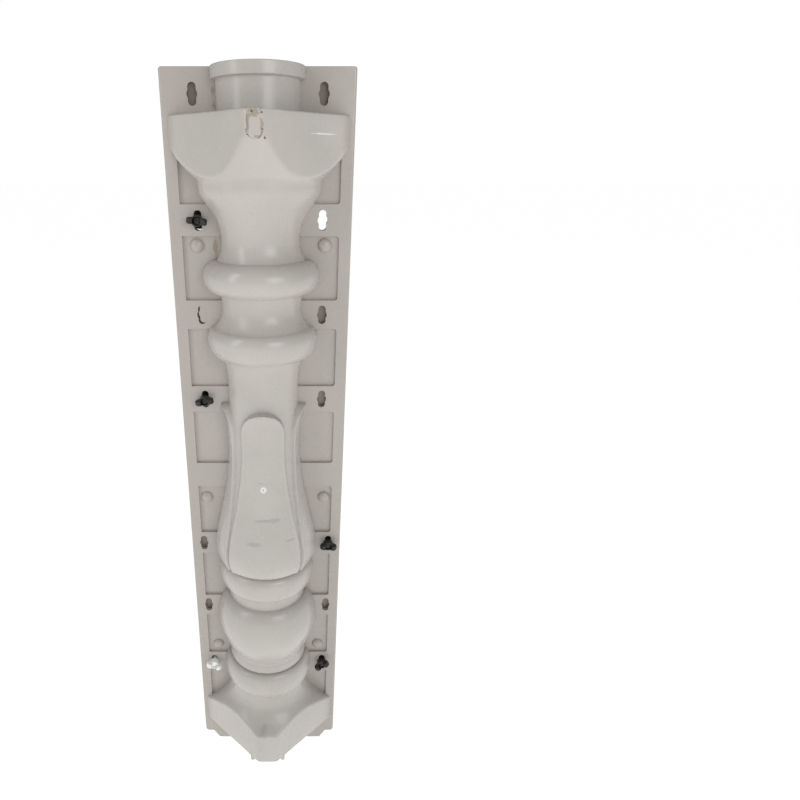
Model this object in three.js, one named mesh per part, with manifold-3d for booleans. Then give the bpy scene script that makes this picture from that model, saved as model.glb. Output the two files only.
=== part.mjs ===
// A two-part plastic mould for casting a tulip baluster, closed and standing upright.
// Millimetres, +Z up, origin under the middle of the foot. The halves part on the plane
// y = 0, and the front half faces -Y. Depths are measured down from the top of the neck.
import * as THREE from "three";
import { mergeVertices } from "three/addons/utils/BufferGeometryUtils.js";
import Module from "manifold-3d";

const wasm = await Module();
wasm.setup();

// Shell
const wall = 3;
const seamGap = 0.3;
const turnSteps = 20;
const hollowSteps = 12;
const hollowStep = 2;
const hollowSlack = 1.1;
const arcSteps = 2;
const overlap = 1;

// Pouring neck
const neck = { height: 39.7, radius: 39.1, rimHeight: 11, rimRadius: 43.5, rimFall: 0.6 };

// Square block under the neck, with its lower side turned away
const block = {
  side: 120, cornerFlat: 14, straight: 20.3,
  flareHeight: 35, flareWidth: 89, ringHeight: 4.3, ringRadius: 59.6,
};
const tongue = { width: 11.3, height: 20.5, proud: 1 };

// Hollow throat under the block
const throat = { ringRadius: 59.3, fall: 52, waistRadius: 39.3, rise: 18, footRadius: 44.6 };

// Beads and hollows, from the top down
const upperBead = { fromRadius: 45.5, radius: 58.9, toRadius: 44, above: 16.4, below: 16.6 };
const collar = { fall: 15, waistRadius: 40.9, rise: 19.5, footRadius: 50 };
const lowerBead = { fromRadius: 50, radius: 57.4, toRadius: 43, above: 12.5, below: 20.5 };
const shaft = { fall: 34, radius: 38.2, height: 61 };

// Tulip: a swelling cup with four petals laid over it
const tulip = { swellHeight: 135, cupRadius: 58.2, cupFall: 22, footRadius: 53.5 };
const petal = {
  count: 4, above: 43, lift: 2.3, lip: 6.7, lipFade: 12, rim: 0.9,
  halfAngle: 43.5, archHeight: 30, tipFlat: 0.4, upperShare: 0.84, spreadFrom: 60, spreadOver: 90,
};
const cupGroove = { height: 4.6, radius: 49.5 };

// Bulb and the rings round it
const cupBead = { fromRadius: 50.5, radius: 56.8, toRadius: 47.5, above: 12, below: 22.5 };
const bulbNeck = { height: 14, radius: 46.8 };
const bulb = { radius: 61, waistRadius: 47, above: 34, below: 50 };
const bulbFoot = { height: 12, radius: 48.6, grooveHeight: 2, grooveRadius: 46.3 };
const footBead = { fromRadius: 48.8, radius: 55.9, toRadius: 48.5, above: 17, below: 20 };

// Square plinth with its turned upper side, its ribs and the foot under it
const plinth = { collarHeight: 7, collarFlare: 1, flareHeight: 43, height: 36, flareWidth: 89, cornerFlat: 24 };
const foot = { radius: 30, height: 38.6 };
const rib = { offset: 19.5, thickness: 5, height: 6.5 };

// Side flange with its frame, recessed panels and cross bars
const flange = { width: 179, thickness: 5.5, border: 12, topCorner: 2.5 };
const cornerCut = { width: 18, height: 13, step: 10 };
const panel = { thickness: 2.5, corner: 3, firstDepth: 53, lastDepth: 774 };
const bar = { count: 7, height: 30, underRing: 32.7, overFlare: 23.3 };
const dome = { radius: 7, height: 4.4 };
const domes = [
  { bar: 0, below: 24, x: 63.5 },
  { bar: 3, below: 31, x: 68.5 },
  { bar: 5, below: 66, x: 65 },
];

// Keyhole slots: one pair beside the neck and one pair on each bar but the middle one
const slot = { length: 19.5, width: 7.7, eye: 10 };
const neckSlot = { depth: 22, x: 60 };
const barSlotX = [61, 62, 63.5, null, 75, 74, 71];
const flash = { bar: 1, shiftX: 1.7, shiftZ: 1.5, sunk: 1 };

// Fasteners: a bolt with a wing nut in five of the slots
const play = 0.3;
const bolt = { radius: 3.5, headRadius: 9, headThickness: 3, reach: 7 };
const nut = { hubRadius: 5.6, hubHeight: 8, span: 20, lobe: 9, wingHeight: 12.5, wingThickness: 6.5 };
const nutBoreGap = 0.6;
const fasteners = [
  { name: "upper_left", bar: 0, side: -1, tilt: -7 },
  { name: "middle_left", bar: 2, side: -1, tilt: 10 },
  { name: "middle_right", bar: 4, side: 1, tilt: -4 },
  { name: "lower_left", bar: 6, side: -1, tilt: -18, pale: true },
  { name: "lower_right", bar: 6, side: 1, tilt: 30 },
];

// Depths of the members, worked out from the sizes above
const ringDepth = neck.height + block.straight + block.flareHeight + block.ringHeight;
const upperBeadDepth = ringDepth + throat.fall + throat.rise;
const collarDepth = upperBeadDepth + upperBead.above + upperBead.below;
const lowerBeadDepth = collarDepth + collar.fall + collar.rise;
const shaftDepth = lowerBeadDepth + lowerBead.above + lowerBead.below;
const swellDepth = shaftDepth + shaft.fall + shaft.height;
const cupDepth = swellDepth + tulip.swellHeight;
const grooveDepth = cupDepth + tulip.cupFall;
const petalDepth = swellDepth - petal.above;
const cupBeadDepth = grooveDepth + cupGroove.height;
const bulbNeckDepth = cupBeadDepth + cupBead.above + cupBead.below;
const bulbDepth = bulbNeckDepth + bulbNeck.height;
const bulbFootDepth = bulbDepth + bulb.above + bulb.below;
const footBeadDepth = bulbFootDepth + bulbFoot.height + bulbFoot.grooveHeight;
const plinthDepth = footBeadDepth + footBead.above + footBead.below;
const plinthSquareDepth = plinthDepth + plinth.collarHeight + plinth.flareHeight;
const plinthEndDepth = plinthSquareDepth + plinth.height;
const totalHeight = plinthEndDepth + foot.height;

const blockPlane = block.side / Math.SQRT2 - block.cornerFlat / 2;

// Outline of the turned members as a path of radius against depth
function bead(path, depth, size) {
  const middle = depth + size.above;
  path.lineTo(size.fromRadius, depth);
  path.absellipse(size.fromRadius, middle, size.radius - size.fromRadius, size.above, -Math.PI / 2, 0, false);
  path.absellipse(size.toRadius, middle, size.radius - size.toRadius, size.below, 0, Math.PI / 2, false);
}

function turnedPath() {
  const path = new THREE.Path();
  path.moveTo(neck.rimRadius, 0);
  path.lineTo(neck.rimRadius, neck.rimHeight);
  path.lineTo(neck.radius, neck.rimHeight + neck.rimFall);
  path.lineTo(neck.radius, ringDepth - block.flareHeight / 4);
  path.lineTo(throat.ringRadius, ringDepth);
  const waist = ringDepth + throat.fall;
  path.bezierCurveTo(throat.ringRadius, ringDepth + throat.fall * 0.31,
    throat.waistRadius, ringDepth + throat.fall * 0.45, throat.waistRadius, waist);
  path.quadraticCurveTo(throat.waistRadius, waist + throat.rise * 0.55, throat.footRadius, upperBeadDepth);
  bead(path, upperBeadDepth, upperBead);
  const collarWaist = collarDepth + collar.fall;
  path.quadraticCurveTo(collar.waistRadius, collarDepth + collar.fall * 0.3, collar.waistRadius, collarWaist);
  path.quadraticCurveTo(collar.waistRadius, collarWaist + collar.rise * 0.55, collar.footRadius, lowerBeadDepth);
  bead(path, lowerBeadDepth, lowerBead);
  path.quadraticCurveTo(shaft.radius, shaftDepth + shaft.fall * 0.28, shaft.radius, shaftDepth + shaft.fall);
  path.lineTo(shaft.radius, swellDepth);
  path.bezierCurveTo(shaft.radius, swellDepth + tulip.swellHeight * 0.48,
    tulip.cupRadius, swellDepth + tulip.swellHeight * 0.83, tulip.cupRadius, cupDepth);
  path.quadraticCurveTo(tulip.cupRadius, cupDepth + tulip.cupFall * 0.64, tulip.footRadius, grooveDepth);
  path.lineTo(cupGroove.radius, grooveDepth + cupGroove.height * 0.4);
  path.lineTo(cupGroove.radius, cupBeadDepth);
  bead(path, cupBeadDepth, cupBead);
  path.quadraticCurveTo(bulbNeck.radius, bulbNeckDepth + bulbNeck.height * 0.4, bulbNeck.radius, bulbDepth);
  const bulbMiddle = bulbDepth + bulb.above;
  const bulbSwell = bulb.radius - bulbNeck.radius;
  path.absellipse(bulbNeck.radius, bulbMiddle, bulbSwell, bulb.above, -Math.PI / 2, 0, false);
  path.bezierCurveTo(bulb.radius, bulbMiddle + bulb.below * 0.42,
    bulb.waistRadius * 0.7 + bulb.radius * 0.3, bulbMiddle + bulb.below * 0.78, bulb.waistRadius, bulbFootDepth);
  path.lineTo(bulbFoot.radius, bulbFootDepth + bulbFoot.height * 0.4);
  path.lineTo(bulbFoot.radius, bulbFootDepth + bulbFoot.height);
  path.lineTo(bulbFoot.grooveRadius, footBeadDepth - bulbFoot.grooveHeight * 0.6);
  path.lineTo(bulbFoot.grooveRadius, footBeadDepth);
  bead(path, footBeadDepth, footBead);
  path.lineTo(footBead.toRadius, plinthSquareDepth);
  return path;
}

// Turned sides of the block and the plinth
function blockFlare() {
  const path = new THREE.Path();
  const start = neck.height + block.straight;
  path.moveTo(block.flareWidth, neck.height);
  path.lineTo(block.flareWidth, start);
  path.quadraticCurveTo(block.flareWidth * 0.865, start + block.flareHeight * 0.585,
    block.ringRadius, start + block.flareHeight);
  path.lineTo(throat.ringRadius, ringDepth);
  return path;
}

function plinthFlare() {
  const path = new THREE.Path();
  const start = plinthDepth + plinth.collarHeight;
  path.moveTo(footBead.toRadius, plinthDepth);
  path.lineTo(footBead.toRadius + plinth.collarFlare, start);
  path.quadraticCurveTo(footBead.toRadius + 2 * plinth.collarFlare, start + plinth.flareHeight * 0.54,
    plinth.flareWidth, plinthSquareDepth);
  path.lineTo(plinth.flareWidth, plinthEndDepth);
  return path;
}

// Points along a path, with more of them on its long S-curves
function pointsOn(path) {
  const points = [];
  for (const curve of path.curves) {
    const steps = curve.isLineCurve ? 1 : arcSteps * (curve.isCubicBezierCurve ? 2 : 1);
    const fresh = curve.getPoints(steps);
    points.push(...(points.length ? fresh.slice(1) : fresh));
  }
  return points;
}

// A path's radius at a depth, and the radius of a hollow that leaves the wall under it
function radiusAt(points, depth) {
  for (let i = 1; i < points.length; i += 1) {
    const [above, below] = [points[i - 1], points[i]];
    if (depth <= below.y && below.y > above.y) {
      const share = Math.max(0, (depth - above.y) / (below.y - above.y));
      return above.x + share * (below.x - above.x);
    }
  }
  return points[points.length - 1].x;
}

function hollowRadius(points, depth) {
  let radius = radiusAt(points, depth) - wall;
  for (const point of points) {
    const away = Math.abs(point.y - depth);
    if (away < wall) radius = Math.min(radius, point.x - Math.sqrt(wall * wall - away * away));
  }
  return radius;
}

// The fewest of the points that keep the line through them within the slack
function thinned(points, slack) {
  const first = points[0];
  const last = points[points.length - 1];
  const run = last.clone().sub(first);
  let most = slack;
  let split = 0;
  points.forEach((point, i) => {
    const off = Math.abs(run.cross(point.clone().sub(first))) / run.length();
    if (off > most) [most, split] = [off, i];
  });
  if (split === 0) return [first, last];
  const above = thinned(points.slice(0, split + 1), slack);
  return [...above.slice(0, -1), ...thinned(points.slice(split), slack)];
}

function hollowOutline(points, fromDepth, toDepth) {
  const count = Math.round((toDepth - fromDepth) / hollowStep);
  const outline = [];
  for (let i = 0; i <= count; i += 1) {
    const depth = fromDepth + ((toDepth - fromDepth) * i) / count;
    outline.push(new THREE.Vector2(hollowRadius(points, depth), depth));
  }
  return thinned(outline, hollowSlack);
}

// Closed meshes to solids and back
function solidOf(geometry) {
  const bare = geometry.clone();
  bare.deleteAttribute("normal");
  bare.deleteAttribute("uv");
  const merged = mergeVertices(bare, 1e-4);
  const corners = merged.index.array;
  const kept = [];
  for (let i = 0; i < corners.length; i += 3) {
    const [a, b, c] = [corners[i], corners[i + 1], corners[i + 2]];
    if (a !== b && b !== c && c !== a) kept.push(a, b, c);
  }
  const vertProperties = new Float32Array(merged.attributes.position.array);
  const solid = new wasm.Manifold(new wasm.Mesh({ numProp: 3, vertProperties, triVerts: new Uint32Array(kept) }));
  if (solid.volume() > 0) return solid;
  const turned = [];
  for (let i = 0; i < kept.length; i += 3) turned.push(kept[i], kept[i + 2], kept[i + 1]);
  return new wasm.Manifold(new wasm.Mesh({ numProp: 3, vertProperties, triVerts: new Uint32Array(turned) }));
}

function meshOf(solid, name, material) {
  const data = solid.getMesh();
  const geometry = new THREE.BufferGeometry();
  geometry.setAttribute("position", new THREE.BufferAttribute(new Float32Array(data.vertProperties), 3));
  geometry.setIndex(new THREE.BufferAttribute(new Uint32Array(data.triVerts), 1));
  geometry.computeVertexNormals();
  const mesh = new THREE.Mesh(geometry, material);
  mesh.name = name;
  return mesh;
}

// A solid turned about the upright axis from points of radius against depth
function turned(points, steps = turnSteps) {
  const first = points[0];
  const last = points[points.length - 1];
  const outline = [new THREE.Vector2(0, first.y), ...points, new THREE.Vector2(0, last.y)];
  const profile = outline.map((point) => new THREE.Vector2(point.x, totalHeight - point.y));
  const geometry = new THREE.LatheGeometry(profile, steps);
  geometry.rotateX(Math.PI / 2);
  return solidOf(geometry);
}

// A flat shape drawn on the parting plane and given a thickness towards the front
function plate(shape, start, thickness, curveSegments = 2) {
  const geometry = new THREE.ExtrudeGeometry(shape, { depth: thickness, bevelEnabled: false, curveSegments });
  geometry.rotateX(Math.PI / 2);
  geometry.translate(0, -start, 0);
  return solidOf(geometry);
}

// An upright prism on a square that stands corner to the front, with that corner cut flat
function squarePrism(inset, fromDepth, toDepth, cornerFlat = block.cornerFlat) {
  const reach = block.side / Math.SQRT2 - inset * Math.SQRT2;
  const flat = (block.side * Math.SQRT2 - cornerFlat) / 2 - inset;
  const shape = new THREE.Shape();
  shape.moveTo(reach, 0);
  shape.lineTo(reach - flat, flat);
  shape.lineTo(flat - reach, flat);
  shape.lineTo(-reach, 0);
  shape.lineTo(flat - reach, -flat);
  shape.lineTo(reach - flat, -flat);
  shape.closePath();
  const geometry = new THREE.ExtrudeGeometry(shape, { depth: toDepth - fromDepth, bevelEnabled: false });
  geometry.translate(0, 0, totalHeight - toDepth);
  return solidOf(geometry);
}

// One petal: a slab bent round the tulip, with an arched top, a flared lip and a raised rim
const petalColumns = [-1, -0.8, 0, 0.8, 1];
const petalRows = 7;
const hollowColumns = [-1, 0, 1];
const hollowRows = 4;

function petalHalfAngle(below) {
  const arch = Math.min(1, (below + petal.tipFlat) / petal.archHeight);
  const round = Math.sqrt(1 - (1 - arch) ** 2);
  const spread = Math.min(1, Math.max(0, (below - petal.spreadFrom) / petal.spreadOver));
  const share = petal.upperShare * round + (1 - petal.upperShare) * spread;
  return THREE.MathUtils.degToRad(petal.halfAngle * share);
}

function petalRadius(core, depth, across) {
  const below = depth - petalDepth;
  const lip = petal.lip * Math.exp(-below / petal.lipFade);
  const rim = petal.rim * Math.max(0, 1 - Math.abs(Math.abs(across) - 0.9) / 0.4);
  return radiusAt(core, depth) + petal.lift + lip + rim;
}

function petalSolid(core, inset, facing) {
  const places = inset ? hollowColumns : petalColumns;
  const columns = places.length - 1;
  const geometry = new THREE.BoxGeometry(1, 1, 1, columns, inset ? hollowRows : petalRows, 1);
  const position = geometry.attributes.position;
  const height = grooveDepth - petalDepth;
  for (let i = 0; i < position.count; i += 1) {
    const across = places[Math.round((position.getX(i) + 0.5) * columns)];
    const share = 0.5 - position.getY(i);
    const below = height * share ** 1.7;
    const depth = petalDepth + inset + Math.max(0, below - inset);
    const shrink = inset / radiusAt(core, depth);
    const angle = facing + Math.max(0, petalHalfAngle(below) - shrink) * across;
    const outer = petalRadius(core, depth, across) - inset;
    const radius = position.getZ(i) > 0 ? outer : shaft.radius / 2;
    position.setXYZ(i, radius * Math.sin(angle), -radius * Math.cos(angle), totalHeight - depth);
  }
  return solidOf(geometry);
}

// Outlines on the flange
function keyholeOutline(shape, x, z, grow = 0) {
  const half = slot.width / 2 + grow;
  const eye = slot.eye / 2 + grow;
  const straight = slot.length / 2 - slot.width / 2;
  const eyeReach = Math.sqrt(eye * eye - half * half);
  const eyeAngle = Math.atan2(eyeReach, half);
  shape.moveTo(x + half, z + straight);
  shape.absarc(x, z + straight, half, 0, Math.PI / 2, false);
  shape.absarc(x, z + straight, half, Math.PI / 2, Math.PI, false);
  shape.lineTo(x - half, z + eyeReach);
  shape.absarc(x, z, eye, Math.PI - eyeAngle, Math.PI + eyeAngle, false);
  shape.lineTo(x - half, z - straight);
  shape.absarc(x, z - straight, half, Math.PI, 1.5 * Math.PI, false);
  shape.absarc(x, z - straight, half, 1.5 * Math.PI, 2 * Math.PI, false);
  shape.lineTo(x + half, z - eyeReach);
  shape.absarc(x, z, eye, -eyeAngle, eyeAngle, false);
  shape.closePath();
  return shape;
}

function keyhole(x, depth) {
  const shape = keyholeOutline(new THREE.Shape(), x, totalHeight - depth);
  return plate(shape, -2 * overlap, flange.thickness + 3 * overlap, 1);
}

function barDepth(index) {
  const first = ringDepth + bar.underRing;
  const last = plinthDepth + plinth.collarHeight - bar.overFlare;
  return first + ((last - first) * index) / (bar.count - 1);
}

function flangeShape() {
  const half = flange.width / 2;
  const shape = new THREE.Shape();
  shape.moveTo(half - cornerCut.width, 0);
  shape.lineTo(half - cornerCut.step, cornerCut.height);
  shape.lineTo(half, cornerCut.height);
  shape.lineTo(half, totalHeight - flange.topCorner);
  shape.lineTo(half - flange.topCorner, totalHeight);
  shape.lineTo(flange.topCorner - half, totalHeight);
  shape.lineTo(-half, totalHeight - flange.topCorner);
  shape.lineTo(-half, cornerCut.height);
  shape.lineTo(cornerCut.step - half, cornerCut.height);
  shape.lineTo(cornerCut.width - half, 0);
  shape.closePath();
  return shape;
}

function panelCutter(side, fromDepth, toDepth) {
  const inner = shaft.radius - 2 * wall;
  const outer = flange.width / 2 - flange.border;
  const top = totalHeight - fromDepth;
  const bottom = totalHeight - toDepth;
  const shape = new THREE.Shape();
  shape.moveTo(side * inner, top);
  shape.lineTo(side * (outer - panel.corner), top);
  shape.quadraticCurveTo(side * outer, top, side * outer, top - panel.corner);
  shape.lineTo(side * outer, bottom + panel.corner);
  shape.quadraticCurveTo(side * outer, bottom, side * (outer - panel.corner), bottom);
  shape.lineTo(side * inner, bottom);
  shape.closePath();
  return plate(shape, panel.thickness, flange.thickness, 1);
}

function domeSolid(x, depth) {
  const base = panel.thickness;
  const profile = [
    new THREE.Vector2(0, base / 2),
    new THREE.Vector2(dome.radius, base / 2),
    new THREE.Vector2(dome.radius * 0.72, base + dome.height * 0.68),
    new THREE.Vector2(0, base + dome.height),
  ];
  const geometry = new THREE.LatheGeometry(profile, 6);
  geometry.rotateX(Math.PI);
  geometry.translate(x, 0, totalHeight - depth);
  return solidOf(geometry);
}

function flangeSolid(isOpen) {
  let solid = plate(flangeShape(), -overlap, flange.thickness + overlap);
  const edges = [panel.firstDepth];
  for (let i = 0; i < bar.count; i += 1) edges.push(barDepth(i) - bar.height / 2, barDepth(i) + bar.height / 2);
  edges.push(panel.lastDepth);
  for (const side of [-1, 1]) {
    for (let i = 0; i < edges.length; i += 2) solid = solid.subtract(panelCutter(side, edges[i], edges[i + 1]));
    for (const { bar: index, below, x } of domes) solid = solid.add(domeSolid(side * x, barDepth(index) + below));
    if (isOpen("neck", side)) solid = solid.subtract(keyhole(side * neckSlot.x, neckSlot.depth));
    barSlotX.forEach((x, index) => {
      if (x !== null && isOpen(index, side)) solid = solid.subtract(keyhole(side * x, barDepth(index)));
    });
  }
  return solid;
}

// Plastic left standing in one slot of the front half, so that only a crescent is open
function flashSolid() {
  const x = -barSlotX[flash.bar] + flash.shiftX;
  const z = totalHeight - barDepth(flash.bar) + flash.shiftZ;
  return plate(keyholeOutline(new THREE.Shape(), x, z), -overlap, flange.thickness + overlap - flash.sunk, 1);
}

// Two ribs under the plinth that tie the foot to its lower edges
function ribSolids() {
  const reach = block.side / Math.SQRT2;
  const from = totalHeight - plinthEndDepth;
  const ribs = [-1, 1].map((side) => {
    const geometry = new THREE.BoxGeometry(rib.thickness, 2 * reach, rib.height + wall);
    geometry.translate(side * rib.offset, 0, from - rib.height + (rib.height + wall) / 2);
    return solidOf(geometry);
  });
  const under = squarePrism(0, plinthEndDepth - wall, plinthEndDepth + rib.height, plinth.cornerFlat);
  return ribs[0].add(ribs[1]).intersect(under);
}

function tongueSolid() {
  const top = totalHeight - neck.height;
  const half = tongue.width / 2;
  const shape = new THREE.Shape();
  shape.moveTo(half, top);
  shape.lineTo(-half, top);
  shape.lineTo(-half, top - tongue.height + half);
  shape.absarc(0, top - tongue.height + half, half, Math.PI, 2 * Math.PI, false);
  shape.closePath();
  return plate(shape, blockPlane - wall / 2, wall / 2 + tongue.proud);
}

// Body of the mould as a solid, and the hollow inside it
function bodySolid(core, flareAbove, flareBelow) {
  let solid = turned(core);
  solid = solid.add(squarePrism(0, neck.height, ringDepth).intersect(turned(flareAbove)));
  solid = solid.add(squarePrism(0, plinthDepth, plinthEndDepth, plinth.cornerFlat).intersect(turned(flareBelow)));
  const footEnd = new THREE.Vector2(foot.radius, totalHeight);
  solid = solid.add(turned([new THREE.Vector2(foot.radius, plinthEndDepth - wall), footEnd]));
  for (let i = 0; i < petal.count; i += 1) {
    solid = solid.add(petalSolid(core, 0, (2 * Math.PI * i) / petal.count));
  }
  return solid.add(tongueSolid()).add(ribSolids());
}

function hollowSolid(core, flareAbove, flareBelow) {
  const through = 1;
  const floorDepth = plinthEndDepth - wall;
  const tube = hollowOutline(core, 0, floorDepth);
  tube.unshift(new THREE.Vector2(tube[0].x, -through));
  let solid = turned(tube, hollowSteps);
  const aboveHollow = hollowOutline(flareAbove, neck.height + wall, ringDepth);
  solid = solid.add(squarePrism(wall, neck.height + wall, ringDepth).intersect(turned(aboveHollow)));
  const belowHollow = hollowOutline(flareBelow, plinthDepth + plinth.collarHeight, floorDepth);
  const plinthHollow = squarePrism(wall, plinthDepth, floorDepth, plinth.cornerFlat).intersect(turned(belowHollow));
  solid = solid.add(plinthHollow);
  const bore = new THREE.Vector2(foot.radius - wall, floorDepth - through);
  solid = solid.add(turned([bore, new THREE.Vector2(bore.x, totalHeight + through)], hollowSteps));
  for (let i = 0; i < petal.count; i += 1) {
    solid = solid.add(petalSolid(core, wall, (2 * Math.PI * i) / petal.count));
  }
  return solid;
}

function frontSide() {
  const size = 4 * totalHeight;
  const geometry = new THREE.BoxGeometry(size, size, size);
  geometry.translate(0, -size / 2 - seamGap / 2, 0);
  return solidOf(geometry);
}

function shellSolid(isOpen, hasFlash) {
  const core = pointsOn(turnedPath());
  const flareAbove = pointsOn(blockFlare());
  const flareBelow = pointsOn(plinthFlare());
  let solid = bodySolid(core, flareAbove, flareBelow).add(flangeSolid(isOpen));
  if (hasFlash) solid = solid.add(flashSolid());
  return solid.subtract(hollowSolid(core, flareAbove, flareBelow)).intersect(frontSide()).simplify(0.2);
}

// Bolt and wing nut on one slot
function rod(radius, fromY, toY, sides) {
  const geometry = new THREE.CylinderGeometry(radius, radius, toY - fromY, sides);
  geometry.translate(0, (fromY + toY) / 2, 0);
  return solidOf(geometry);
}

const clampFace = flange.thickness + play;

function boltSolid() {
  const shank = rod(bolt.radius, -clampFace - bolt.reach, clampFace + bolt.headThickness / 2, 6);
  return shank.add(rod(bolt.headRadius, clampFace, clampFace + bolt.headThickness, 10));
}

function nutSolid() {
  const lobeRadius = nut.lobe / 2;
  const lobeX = nut.span / 2 - lobeRadius;
  const lobeY = nut.wingHeight - lobeRadius;
  const wings = new THREE.Shape();
  wings.moveTo(-nut.hubRadius, 0.8);
  wings.lineTo(nut.hubRadius, 0.8);
  wings.lineTo(lobeX + lobeRadius * 0.8, lobeY - lobeRadius * 0.6);
  wings.absarc(lobeX, lobeY, lobeRadius, -0.64, Math.PI * 0.8, false);
  wings.lineTo(0, nut.hubHeight - 1);
  wings.absarc(-lobeX, lobeY, lobeRadius, Math.PI * 0.2, Math.PI + 0.64, false);
  wings.closePath();
  const geometry = new THREE.ExtrudeGeometry(wings, {
    depth: nut.wingThickness, bevelEnabled: false, curveSegments: 1.5,
  });
  geometry.translate(0, 0, -nut.wingThickness / 2);
  geometry.rotateX(Math.PI);
  geometry.translate(0, -clampFace, 0);
  const hub = rod(nut.hubRadius, -clampFace - nut.hubHeight, -clampFace, 8);
  const bore = rod(bolt.radius + nutBoreGap, -clampFace - nut.wingHeight, -clampFace + 1, 6);
  return solidOf(geometry).add(hub).subtract(bore);
}

// Materials
const shellPlastic = new THREE.MeshStandardMaterial({ color: 0xc4c0b8, roughness: 0.42, metalness: 0 });
const blackPlastic = new THREE.MeshStandardMaterial({ color: 0x23201b, roughness: 0.6, metalness: 0 });
const whitePlastic = new THREE.MeshStandardMaterial({ color: 0xf4f3ef, roughness: 0.5, metalness: 0 });

// Assembly: the halves are one moulding, and the back one is turned half round
const seeThrough = [{ bar: 0, side: 1 }];

function backIsOpen(place, side) {
  const inFront = [...fasteners, ...seeThrough];
  return inFront.some((item) => item.bar === place && item.side === -side);
}

const mould = new THREE.Group();
mould.add(meshOf(shellSolid(() => true, true), "front_shell", shellPlastic));
const backShell = meshOf(shellSolid(backIsOpen, false), "back_shell", shellPlastic);
backShell.rotation.z = Math.PI;
mould.add(backShell);

for (const { name, bar: index, side, tilt, pale } of fasteners) {
  const material = pale ? whitePlastic : blackPlastic;
  const fastener = new THREE.Group();
  fastener.position.set(side * barSlotX[index], 0, totalHeight - barDepth(index));
  fastener.add(meshOf(boltSolid(), `bolt_${name}`, material));
  const wingNut = meshOf(nutSolid(), `wing_nut_${name}`, material);
  wingNut.rotation.y = -THREE.MathUtils.degToRad(tilt);
  fastener.add(wingNut);
  mould.add(fastener);
}

export default mould;
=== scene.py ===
import bmesh
import bpy
from math import atan2, cos, exp, hypot, pi, radians, sin, sqrt
from mathutils import Matrix, Vector


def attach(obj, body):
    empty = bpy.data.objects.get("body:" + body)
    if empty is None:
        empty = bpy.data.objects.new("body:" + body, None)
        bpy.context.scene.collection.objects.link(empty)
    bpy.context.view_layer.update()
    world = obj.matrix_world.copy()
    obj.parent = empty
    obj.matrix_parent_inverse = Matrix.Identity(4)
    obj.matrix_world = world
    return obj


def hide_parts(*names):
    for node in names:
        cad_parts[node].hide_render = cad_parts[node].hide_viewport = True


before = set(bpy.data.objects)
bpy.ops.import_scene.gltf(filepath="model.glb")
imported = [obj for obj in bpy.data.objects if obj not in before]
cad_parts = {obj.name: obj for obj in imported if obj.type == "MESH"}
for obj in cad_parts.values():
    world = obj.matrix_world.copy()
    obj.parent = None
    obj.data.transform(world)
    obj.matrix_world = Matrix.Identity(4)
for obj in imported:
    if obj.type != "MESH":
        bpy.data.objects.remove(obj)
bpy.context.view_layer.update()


# The moulded plastic.
# Both halves are one ivory-grey plastic with a soft gloss. Dried cement slurry has
# stained the seams, and stacking has left scuffs and specks on the proud faces.
def mark_group():
    """A soft-edged patch round a point, broken up by noise: 1 in the patch, 0 outside."""
    group = bpy.data.node_groups.new("stain patch", "ShaderNodeTree")
    face = group.interface
    face.new_socket("Position", in_out="INPUT", socket_type="NodeSocketVector")
    face.new_socket("Centre", in_out="INPUT", socket_type="NodeSocketVector")
    face.new_socket("Reach", in_out="INPUT", socket_type="NodeSocketVector")
    face.new_socket("Breakup", in_out="INPUT", socket_type="NodeSocketFloat")
    face.new_socket("Grain", in_out="INPUT", socket_type="NodeSocketFloat")
    face.new_socket("Mask", in_out="OUTPUT", socket_type="NodeSocketFloat")
    nodes, links = group.nodes, group.links
    enter = nodes.new("NodeGroupInput")
    leave = nodes.new("NodeGroupOutput")
    away = nodes.new("ShaderNodeVectorMath")
    away.operation = "SUBTRACT"
    share = nodes.new("ShaderNodeVectorMath")
    share.operation = "DIVIDE"
    length = nodes.new("ShaderNodeVectorMath")
    length.operation = "LENGTH"
    noise = nodes.new("ShaderNodeTexNoise")
    noise.inputs["Detail"].default_value = 4
    centred = nodes.new("ShaderNodeMath")
    centred.operation = "SUBTRACT"
    centred.inputs[1].default_value = 0.5
    rough = nodes.new("ShaderNodeMath")
    rough.operation = "MULTIPLY_ADD"
    edge = nodes.new("ShaderNodeMapRange")
    edge.interpolation_type = "SMOOTHSTEP"
    edge.inputs["From Min"].default_value = 1.0
    edge.inputs["From Max"].default_value = 0.55
    links.new(enter.outputs["Position"], away.inputs[0])
    links.new(enter.outputs["Centre"], away.inputs[1])
    links.new(away.outputs["Vector"], share.inputs[0])
    links.new(enter.outputs["Reach"], share.inputs[1])
    links.new(share.outputs["Vector"], length.inputs[0])
    links.new(enter.outputs["Position"], noise.inputs["Vector"])
    links.new(enter.outputs["Grain"], noise.inputs["Scale"])
    links.new(noise.outputs["Fac"], centred.inputs[0])
    links.new(centred.outputs["Value"], rough.inputs[0])
    links.new(enter.outputs["Breakup"], rough.inputs[1])
    links.new(length.outputs["Value"], rough.inputs[2])
    links.new(rough.outputs["Value"], edge.inputs["Value"])
    links.new(edge.outputs["Result"], leave.inputs["Mask"])
    return group


stain_patch = mark_group()


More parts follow.
